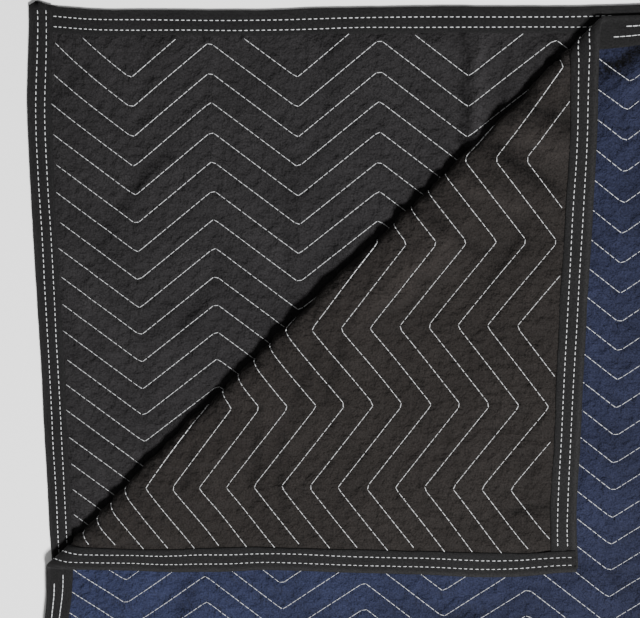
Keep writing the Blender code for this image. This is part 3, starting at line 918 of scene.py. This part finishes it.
def pucker_group():
    """Small gathers that each stitch pulls into the cloth beside a quilting line."""
    tree = new_group(
        "blanket_puckers",
        [("Quilting", "NodeSocketVector", None), ("Band", "NodeSocketFloat", BAND)],
        [("Height", "NodeSocketFloat"), ("Near", "NodeSocketFloat")],
    )
    source = tree.nodes["Group Input"]
    target = tree.nodes["Group Output"]
    split = add_node(tree, "ShaderNodeSeparateXYZ", -1, 0)
    tree.links.new(source.outputs["Quilting"], split.inputs[0])
    row = calculate(tree, "DIVIDE", 0, 0, split.outputs["Y"], source.outputs["Band"])
    whole = calculate(tree, "ROUND", 1, 0, row)
    away = calculate(tree, "ABSOLUTE", 3, 0, calculate(tree, "SUBTRACT", 2, 0, row, whole))
    near = add_node(tree, "ShaderNodeMapRange", 4, 0, interpolation_type="SMOOTHSTEP")
    tree.links.new(away, near.inputs["Value"])
    near.inputs["From Min"].default_value = 0.42
    near.inputs["From Max"].default_value = 0.03
    scale = add_node(tree, "ShaderNodeMapping", 1, 2)
    scale.inputs["Scale"].default_value = (190.0, 60.0, 1.0)
    tree.links.new(source.outputs["Quilting"], scale.inputs["Vector"])
    gather = add_node(tree, "ShaderNodeTexNoise", 2, 2, Scale=1.0, Detail=2.0)
    tree.links.new(scale.outputs[0], gather.inputs["Vector"])
    height = calculate(tree, "MULTIPLY", 5, 1, gather.outputs[0], near.outputs[0])
    tree.links.new(height, target.inputs["Height"])
    tree.links.new(near.outputs[0], target.inputs["Near"])
    return tree


def mottle_group():
    """Soft uneven tone, with pale lint here and there."""
    tree = new_group(
        "blanket_mottle",
        [("Place", "NodeSocketVector", None), ("Amount", "NodeSocketFloat", 0.2),
         ("Lint", "NodeSocketFloat", 0.1)],
        [("Tone", "NodeSocketFloat"), ("Crinkle", "NodeSocketFloat")],
    )
    source = tree.nodes["Group Input"]
    target = tree.nodes["Group Output"]
    outputs = []
    for index, (scale, detail) in enumerate(((14.0, 3.0), (95.0, 4.0), (900.0, 1.0))):
        cloud = add_node(tree, "ShaderNodeTexNoise", 0, index * 2, Scale=scale, Detail=detail)
        tree.links.new(source.outputs["Place"], cloud.inputs["Vector"])
        outputs.append(cloud.outputs[0])
    wide, fine, specks = outputs
    mixed = calculate(tree, "MULTIPLY_ADD", 1, 0, wide, 2.2, calculate(tree, "MULTIPLY", 1, 2, fine, 1.6))
    tone = calculate(tree, "SUBTRACT", 2, 0, mixed, 1.9)
    tone = calculate(tree, "MULTIPLY_ADD", 3, 0, tone, source.outputs["Amount"], 1.0)
    lint = calculate(tree, "GREATER_THAN", 2, 3, specks, 0.74)
    tone = calculate(tree, "MULTIPLY_ADD", 4, 0, lint, source.outputs["Lint"], tone)
    tree.links.new(tone, target.inputs["Tone"])
    tree.links.new(fine, target.inputs["Crinkle"])
    return tree


def place_group(tree, name, column, row, **values):
    """Put a shared node group in a material with its own values."""
    node = add_node(tree, "ShaderNodeGroup", column, row, node_tree=bpy.data.node_groups[name])
    for label, value in values.items():
        node.inputs[label].default_value = value
    return node


def shader_of(material):
    return material.node_tree.nodes["Principled BSDF"]


def new_material(name, roughness, sheen):
    """A node material whose shader has its constant values set."""
    material = bpy.data.materials.new(name)
    material.use_nodes = True
    shader = shader_of(material)
    shader.inputs["Roughness"].default_value = roughness
    shader.inputs["Specular IOR Level"].default_value = 0.08
    shader.inputs["Sheen Weight"].default_value = sheen
    shader.inputs["Sheen Roughness"].default_value = 0.6
    return material


def tint(tree, colour, second, mask, tone, column):
    """Mix two colours by a mask and multiply the result by a tone."""
    mix = add_node(tree, "ShaderNodeMix", column, 0, data_type="RGBA")
    mix.inputs[6].default_value = (*colour, 1.0)
    mix.inputs[7].default_value = (*second, 1.0)
    tree.links.new(mask, mix.inputs[0])
    scale = add_node(tree, "ShaderNodeVectorMath", column + 1, 0, operation="SCALE")
    tree.links.new(mix.outputs[2], scale.inputs[0])
    tree.links.new(tone, scale.inputs["Scale"])
    return scale.outputs[0]


def bump_chain(tree, heights, column):
    """Bump nodes one after another; heights are (socket, distance, strength)."""
    normal = None
    for index, (height, distance, strength) in enumerate(heights):
        bump = add_node(tree, "ShaderNodeBump", column + index, 4)
        bump.inputs["Distance"].default_value = distance
        bump.inputs["Strength"].default_value = strength
        tree.links.new(height, bump.inputs["Height"])
        if normal is not None:
            tree.links.new(normal, bump.inputs["Normal"])
        normal = bump.outputs[0]
    return normal


def cloth_material(name, colour, second, warm_from, amount):
    """Matte woven cloth; its tone shifts towards the second colour along the blanket, which on the black
    cloth is painted light on the turned-back corner.
    """
    material = new_material(name, 0.93, 0.015)
    tree = material.node_tree
    flat = add_node(tree, "ShaderNodeUVMap", -8, 0, uv_map="cloth")
    lines = add_node(tree, "ShaderNodeUVMap", -8, 2, uv_map="quilting")
    weave = place_group(tree, "blanket_weave", -6, 0, Pitch=0.0015)
    pucker = place_group(tree, "blanket_puckers", -6, 2)
    mottle = place_group(tree, "blanket_mottle", -6, 4, Amount=amount)
    tree.links.new(flat.outputs[0], weave.inputs["Place"])
    tree.links.new(lines.outputs[0], pucker.inputs["Quilting"])
    tree.links.new(flat.outputs[0], mottle.inputs["Place"])
    split = add_node(tree, "ShaderNodeSeparateXYZ", -6, 6)
    tree.links.new(flat.outputs[0], split.inputs[0])
    # Shift towards the second colour along the blanket; on the black cloth this is painted light on the
    # turned-back corner
    shift = add_node(tree, "ShaderNodeMapRange", -5, 6)
    shift.inputs["From Min"].default_value = warm_from[0]
    shift.inputs["From Max"].default_value = warm_from[1]
    tree.links.new(split.outputs["X"], shift.inputs["Value"])
    tone = calculate(tree, "MULTIPLY", -4, 2, weave.outputs["Shade"], mottle.outputs["Tone"])
    # Painted shade: the cloth is a little darker along the quilting lines, in their valleys
    tone = calculate(tree, "MULTIPLY_ADD", -3, 2, pucker.outputs["Near"], -0.06, tone)
    # Painted shade and light: darker in the creases' hollows, lighter on their ridges
    painted_crease_shading = add_node(tree, "ShaderNodeAttribute", -5, 8, attribute_name="painted_crease_shading")
    tone = calculate(tree, "MULTIPLY_ADD", -3, 3, painted_crease_shading.outputs["Fac"], PAINTED_CREASE_SHADE, tone)
    tinted = tint(tree, colour, second, shift.outputs[0], tone, -3)
    tree.links.new(tinted, shader_of(material).inputs["Base Color"])
    normal = bump_chain(
        tree,
        [(mottle.outputs["Crinkle"], 0.0090, 1.0), (pucker.outputs["Height"], 0.0045, 0.9),
         (weave.outputs["Height"], 0.0006, 0.6)],
        -3,
    )
    tree.links.new(normal, shader_of(material).inputs["Normal"])
    return material


def strip_material(colour):
    """Edge strip cloth: a tighter weave, paler along the edge's fold."""
    material = new_material("edge_strip_cloth", 0.88, 0.015)
    tree = material.node_tree
    flat = add_node(tree, "ShaderNodeUVMap", -8, 0, uv_map="cloth")
    weave = place_group(tree, "blanket_weave", -6, 0, Pitch=0.0012)
    mottle = place_group(tree, "blanket_mottle", -6, 4, Amount=0.25, Lint=0.15)
    for group in (weave, mottle):
        tree.links.new(flat.outputs[0], group.inputs["Place"])
    split = add_node(tree, "ShaderNodeSeparateXYZ", -6, 6)
    tree.links.new(flat.outputs[0], split.inputs[0])
    paler_at_fold = add_node(tree, "ShaderNodeMapRange", -4, 6)
    paler_at_fold.inputs["From Min"].default_value = 0.0035
    paler_at_fold.inputs["From Max"].default_value = 0.0
    tree.links.new(calculate(tree, "ABSOLUTE", -5, 6, split.outputs["Y"]), paler_at_fold.inputs["Value"])
    tone = calculate(tree, "MULTIPLY", -4, 2, weave.outputs["Shade"], mottle.outputs["Tone"])
    pale = tuple(1.5 * value for value in colour)
    tinted = tint(tree, colour, pale, paler_at_fold.outputs[0], tone, -3)
    tree.links.new(tinted, shader_of(material).inputs["Base Color"])
    normal = bump_chain(
        tree, [(mottle.outputs["Crinkle"], 0.0016, 0.5), (weave.outputs["Height"], 0.0003, 0.5)], -3
    )
    tree.links.new(normal, shader_of(material).inputs["Normal"])
    return material


def thread_material(colour):
    """Pale spun thread with a slight unevenness."""
    material = new_material("sewing_thread", 0.6, 0.0)
    tree = material.node_tree
    place = add_node(tree, "ShaderNodeTexCoord", -6, 0)
    cloud = add_node(tree, "ShaderNodeTexNoise", -5, 0, Scale=160.0, Detail=2.0)
    tree.links.new(place.outputs["Object"], cloud.inputs["Vector"])
    tone = calculate(tree, "MULTIPLY_ADD", -4, 1, cloud.outputs[0], 0.7, 0.62)
    darker = tuple(0.8 * value for value in colour)
    tinted = tint(tree, colour, darker, cloud.outputs[0], tone, -3)
    tree.links.new(tinted, shader_of(material).inputs["Base Color"])
    strands = add_node(tree, "ShaderNodeTexNoise", -5, 4, Scale=2400.0)
    tree.links.new(place.outputs["Object"], strands.inputs["Vector"])
    normal = bump_chain(tree, [(strands.outputs[0], 0.0002, 0.4)], -3)
    tree.links.new(normal, shader_of(material).inputs["Normal"])
    return material


def floor_material(colour):
    """Pale studio paper."""
    material = new_material("studio_paper", 0.95, 0.0)
    tree = material.node_tree
    place = add_node(tree, "ShaderNodeTexCoord", -6, 0)
    cloud = add_node(tree, "ShaderNodeTexNoise", -5, 0, Scale=3.0, Detail=2.0)
    tree.links.new(place.outputs["Object"], cloud.inputs["Vector"])
    tone = calculate(tree, "MULTIPLY_ADD", -4, 1, cloud.outputs[0], 0.02, 0.99)
    tinted = tint(tree, colour, colour, cloud.outputs[0], tone, -3)
    tree.links.new(tinted, shader_of(material).inputs["Base Color"])
    return material


def shared_material(name, make):
    """The material of that name, made the first time that it is asked for."""
    for label, build in SHARED_GROUPS.items():
        if label not in bpy.data.node_groups:
            build()
    return bpy.data.materials.get(name) or make()


SHARED_GROUPS = {
    "blanket_weave": weave_group,
    "blanket_puckers": pucker_group,
    "blanket_mottle": mottle_group,
}


def colours():
    return bpy.context.scene.blanket_colours


def thread():
    return shared_material("sewing_thread", lambda: thread_material(tuple(colours().thread)))


def strip_cloth():
    return shared_material("edge_strip_cloth", lambda: strip_material(tuple(colours().strip)))


# Sizes and colours that a user may change
class QuiltingSizes(bpy.types.PropertyGroup):
    valley: FloatProperty(
        name="Valley", description="Height of a quilting line over the middle of the cloth",
        default=0.0014, unit="LENGTH")
    fullness: FloatProperty(
        name="Fullness", description="Extra height of the batting between two lines",
        default=0.0010, unit="LENGTH")
    crumple: FloatProperty(
        name="Crumple", description="Height of small soft crumples", default=0.0012, unit="LENGTH")
    drag: FloatProperty(
        name="Drag", description="Height of the gathers that cross the bands", default=0.0014, unit="LENGTH")
    swell: FloatProperty(
        name="Swell", description="Height of wide uneven swells", default=0.0012, unit="LENGTH")


class EdgingSizes(bpy.types.PropertyGroup):
    thickness: FloatProperty(
        name="Thickness", description="Height of the strip's face over its inside",
        default=0.0011, unit="LENGTH")
    dimple: FloatProperty(
        name="Dimple", description="Depth of the strip along its stitches", default=0.0007, unit="LENGTH")
    wrinkle: FloatProperty(
        name="Wrinkle", description="Height of the strip's small wrinkles", default=0.00022, unit="LENGTH")
    waver: FloatProperty(
        name="Waver", description="How far the strip's edges waver", default=0.0008, unit="LENGTH")


class ThreadSizes(bpy.types.PropertyGroup):
    quilting_pitch: FloatProperty(
        name="Quilting pitch", description="Length of one quilting stitch and its gap",
        default=0.0070, unit="LENGTH")
    quilting_share: FloatProperty(
        name="Quilting share", description="Part of the pitch that shows as thread",
        default=0.93, subtype="FACTOR")
    quilting_width: FloatProperty(
        name="Quilting thread", description="Width of a quilting stitch", default=0.0009, unit="LENGTH")
    edge_pitch: FloatProperty(
        name="Edge pitch", description="Length of one edge stitch and its gap", default=0.0061, unit="LENGTH")
    edge_share: FloatProperty(
        name="Edge share", description="Part of the edge pitch that shows on the black side",
        default=0.68, subtype="FACTOR")
    edge_width: FloatProperty(
        name="Edge thread", description="Width of an edge stitch on the black side",
        default=0.0012, unit="LENGTH")
    blue_edge_share: FloatProperty(
        name="Blue edge share", description="Part of the edge pitch that shows on the blue side",
        default=0.96, subtype="FACTOR")
    blue_edge_width: FloatProperty(
        name="Blue edge thread", description="Width of an edge stitch on the blue side",
        default=0.0015, unit="LENGTH")


class BlanketColours(bpy.types.PropertyGroup):
    black: FloatVectorProperty(
        name="Black", description="Black cloth on the lower layer",
        default=(0.0148, 0.0140, 0.0146), subtype="COLOR")
    # Painted light: the same black cloth, tinted warmer where the corner is turned back
    flap_black_painted_light: FloatVectorProperty(
        name="Flap black with painted light", description="Black cloth on the turned-back corner",
        default=(0.0135, 0.0116, 0.0107), subtype="COLOR")
    navy: FloatVectorProperty(
        name="Navy", description="Navy cloth", default=(0.0113, 0.0130, 0.0275), subtype="COLOR")
    navy_light: FloatVectorProperty(
        name="Light navy", description="Navy cloth near the upper layer's left edge",
        default=(0.0165, 0.0205, 0.0470), subtype="COLOR")
    strip: FloatVectorProperty(
        name="Edge strip", description="Cloth of the edge strips",
        default=(0.0088, 0.0086, 0.0088), subtype="COLOR")
    thread: FloatVectorProperty(
        name="Thread", description="Sewing thread", default=(0.62, 0.63, 0.64), subtype="COLOR")


class StageSizes(bpy.types.PropertyGroup):
    floor: FloatProperty(name="Floor", description="Side of the square floor", default=14.0, unit="LENGTH")
    key: FloatProperty(name="Key light", description="Power of the main light", default=240.0, unit="POWER")
    fill: FloatProperty(name="Fill", description="Strength of the light all round", default=0.32)
    paper: FloatVectorProperty(
        name="Paper", description="Colour of the floor", default=(0.96, 0.96, 0.96), subtype="COLOR")


# Operators
class BLANKET_OT_black_cloth(bpy.types.Operator):
    """Build the quilted black ply"""

    bl_idname = "blanket.black_cloth"
    bl_label = "Black cloth"

    def execute(self, context):
        cloth = context.scene.blanket_colours
        # The black cloth turns to its painted-light tint on the turned-back corner
        material = shared_material(
            "black_cloth_weave",
            lambda: cloth_material(
                "black_cloth_weave", tuple(cloth.black), tuple(cloth.flap_black_painted_light), (1.0, 1.5), 0.30
            ),
        )
        piece = build_ply("cloth_black", "black", material)
        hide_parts("face_black")
        return {"FINISHED"}


class BLANKET_OT_navy_cloth(bpy.types.Operator):
    """Build the quilted navy ply"""

    bl_idname = "blanket.navy_cloth"
    bl_label = "Navy cloth"

    def execute(self, context):
        cloth = context.scene.blanket_colours
        material = shared_material(
            "navy_cloth_weave",
            lambda: cloth_material(
                "navy_cloth_weave", tuple(cloth.navy), tuple(cloth.navy_light), (1.3, 2.0), 0.36
            ),
        )
        piece = build_ply("cloth_navy", "blue", material)
        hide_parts("face_blue")
        return {"FINISHED"}


class BLANKET_OT_edge_strips(bpy.types.Operator):
    """Wrap the four edge strips over the blanket's edges"""

    bl_idname = "blanket.edge_strips"
    bl_label = "Edge strips"

    def execute(self, context):
        for edge in STRIPS:
            build_strip(edge, strip_cloth())
        return {"FINISHED"}


class BLANKET_OT_quilting_thread(bpy.types.Operator):
    """Sew the zigzag quilting stitches wherever a face can be seen"""

    bl_idname = "blanket.quilting_thread"
    bl_label = "Quilting thread"

    def execute(self, context):
        def near(u, v):
            return (u < FOLD_START) & (shown(u, v, "black") > 0.5)

        def flap(u, v):
            return (u > FOLD_START) & (shown(u, v, "black") > 0.2)

        def above(u, v):
            return shown(u, v, "blue") > 0.2

        def below(u, v):
            return u < FOLD_START

        build_quilting_thread("quilting_thread_lower", "black", near, thread())
        build_quilting_thread("quilting_thread_flap", "black", flap, thread())
        build_quilting_thread("quilting_thread_upper", "blue", above, thread())
        build_quilting_thread("quilting_thread_under", "blue", below, thread())
        return {"FINISHED"}


class BLANKET_OT_edge_thread(bpy.types.Operator):
    """Sew the two rows of stitches along every edge strip"""

    bl_idname = "blanket.edge_thread"
    bl_label = "Edge thread"

    def execute(self, context):
        for edge in STRIPS:
            build_edge_thread(edge, thread())
        return {"FINISHED"}


class BLANKET_OT_stage(bpy.types.Operator):
    """Lay a pale floor and set the lights and the camera"""

    bl_idname = "blanket.stage"
    bl_label = "Stage"

    def execute(self, context):
        sizes = context.scene.blanket_stage
        bpy.ops.object.select_all(action="DESELECT")
        bpy.ops.mesh.primitive_plane_add(size=sizes.floor)
        floor = context.active_object
        floor.name = "floor"
        floor.data.materials.append(floor_material(tuple(sizes.paper)))
        add_lights(context, sizes)
        add_camera(context)
        return {"FINISHED"}


def add_lights(context, sizes):
    """A broad soft key light from the lower right and an even white surround."""
    bpy.ops.object.light_add(type="AREA", location=(0.9, -0.5, 2.6))
    key = context.active_object
    key.name = "key_light"
    key.data.shape = "DISK"
    key.data.size = 0.6
    key.data.energy = sizes.key
    aim = Vector((-0.17, 0.59, 0.0)) - key.location
    key.rotation_euler = aim.to_track_quat("-Z", "Y").to_euler()
    world = context.scene.world or bpy.data.worlds.new("studio")
    context.scene.world = world
    world.use_nodes = True
    background = world.node_tree.nodes["Background"]
    background.inputs["Color"].default_value = (1.0, 1.0, 1.0, 1.0)
    background.inputs["Strength"].default_value = sizes.fill


# Camera, found by fitting the quilting's lattice
PICTURE = {"width": 640, "height": 618}
FOCAL = 1100.0
DISTANCE = 1.2055
TARGET = (0.3177, -0.3185, 0.0064)
TILT = {"x": 12.33, "y": -5.70, "z": 0.38}
SENSOR = 36.0


def add_camera(context):
    """Look at the turned-back corner from above, as the photograph does."""
    turn = Matrix.Rotation(math.radians(TILT["x"]), 3, "X")
    turn = turn @ Matrix.Rotation(math.radians(TILT["y"]), 3, "Y")
    turn = turn @ Matrix.Rotation(math.radians(TILT["z"]), 3, "Z")
    facing = turn.transposed()
    target = Vector(TARGET) + Vector(ORIGIN)
    place = target + facing @ Vector((0.0, 0.0, DISTANCE))
    bpy.ops.object.camera_add(location=place, rotation=facing.to_euler())
    camera = context.active_object
    camera.name = "camera"
    camera.data.sensor_width = SENSOR
    camera.data.lens = FOCAL * SENSOR / PICTURE["width"]
    camera.data.clip_start = 0.01
    camera.data.clip_end = 50.0
    context.scene.camera = camera


class BLANKET_PT_sidebar(bpy.types.Panel):
    """Lists the blanket's pieces in the order they are made"""

    bl_idname = "BLANKET_PT_sidebar"
    bl_label = "Moving blanket"
    bl_space_type = "VIEW_3D"
    bl_region_type = "UI"
    bl_category = "Blanket"

    def draw(self, context):
        layout = self.layout
        for name, title in SIZE_GROUPS:
            layout.label(text=title)
            group = getattr(context.scene, name)
            for label in group.__annotations__:
                layout.prop(group, label)
        for operator in OPERATORS:
            layout.operator(operator.bl_idname)


OPERATORS = (
    BLANKET_OT_black_cloth,
    BLANKET_OT_navy_cloth,
    BLANKET_OT_edge_strips,
    BLANKET_OT_quilting_thread,
    BLANKET_OT_edge_thread,
    BLANKET_OT_stage,
)
PROPERTY_GROUPS = {
    "blanket_quilting": QuiltingSizes,
    "blanket_edging": EdgingSizes,
    "blanket_thread": ThreadSizes,
    "blanket_colours": BlanketColours,
    "blanket_stage": StageSizes,
}
SIZE_GROUPS = (
    ("blanket_quilting", "Quilting"),
    ("blanket_edging", "Edge strips"),
    ("blanket_thread", "Thread"),
    ("blanket_colours", "Colours"),
    ("blanket_stage", "Stage"),
)


def register():
    for item in (*PROPERTY_GROUPS.values(), *OPERATORS, BLANKET_PT_sidebar):
        bpy.utils.register_class(item)
    for name, group in PROPERTY_GROUPS.items():
        setattr(bpy.types.Scene, name, PointerProperty(type=group))


def unregister():
    for name in PROPERTY_GROUPS:
        delattr(bpy.types.Scene, name)
    for item in reversed((*PROPERTY_GROUPS.values(), *OPERATORS, BLANKET_PT_sidebar)):
        bpy.utils.unregister_class(item)


def main():
    register()
    for operator in OPERATORS:
        group, name = operator.bl_idname.split(".")
        getattr(getattr(bpy.ops, group), name)()


if __name__ == "__main__":
    main()
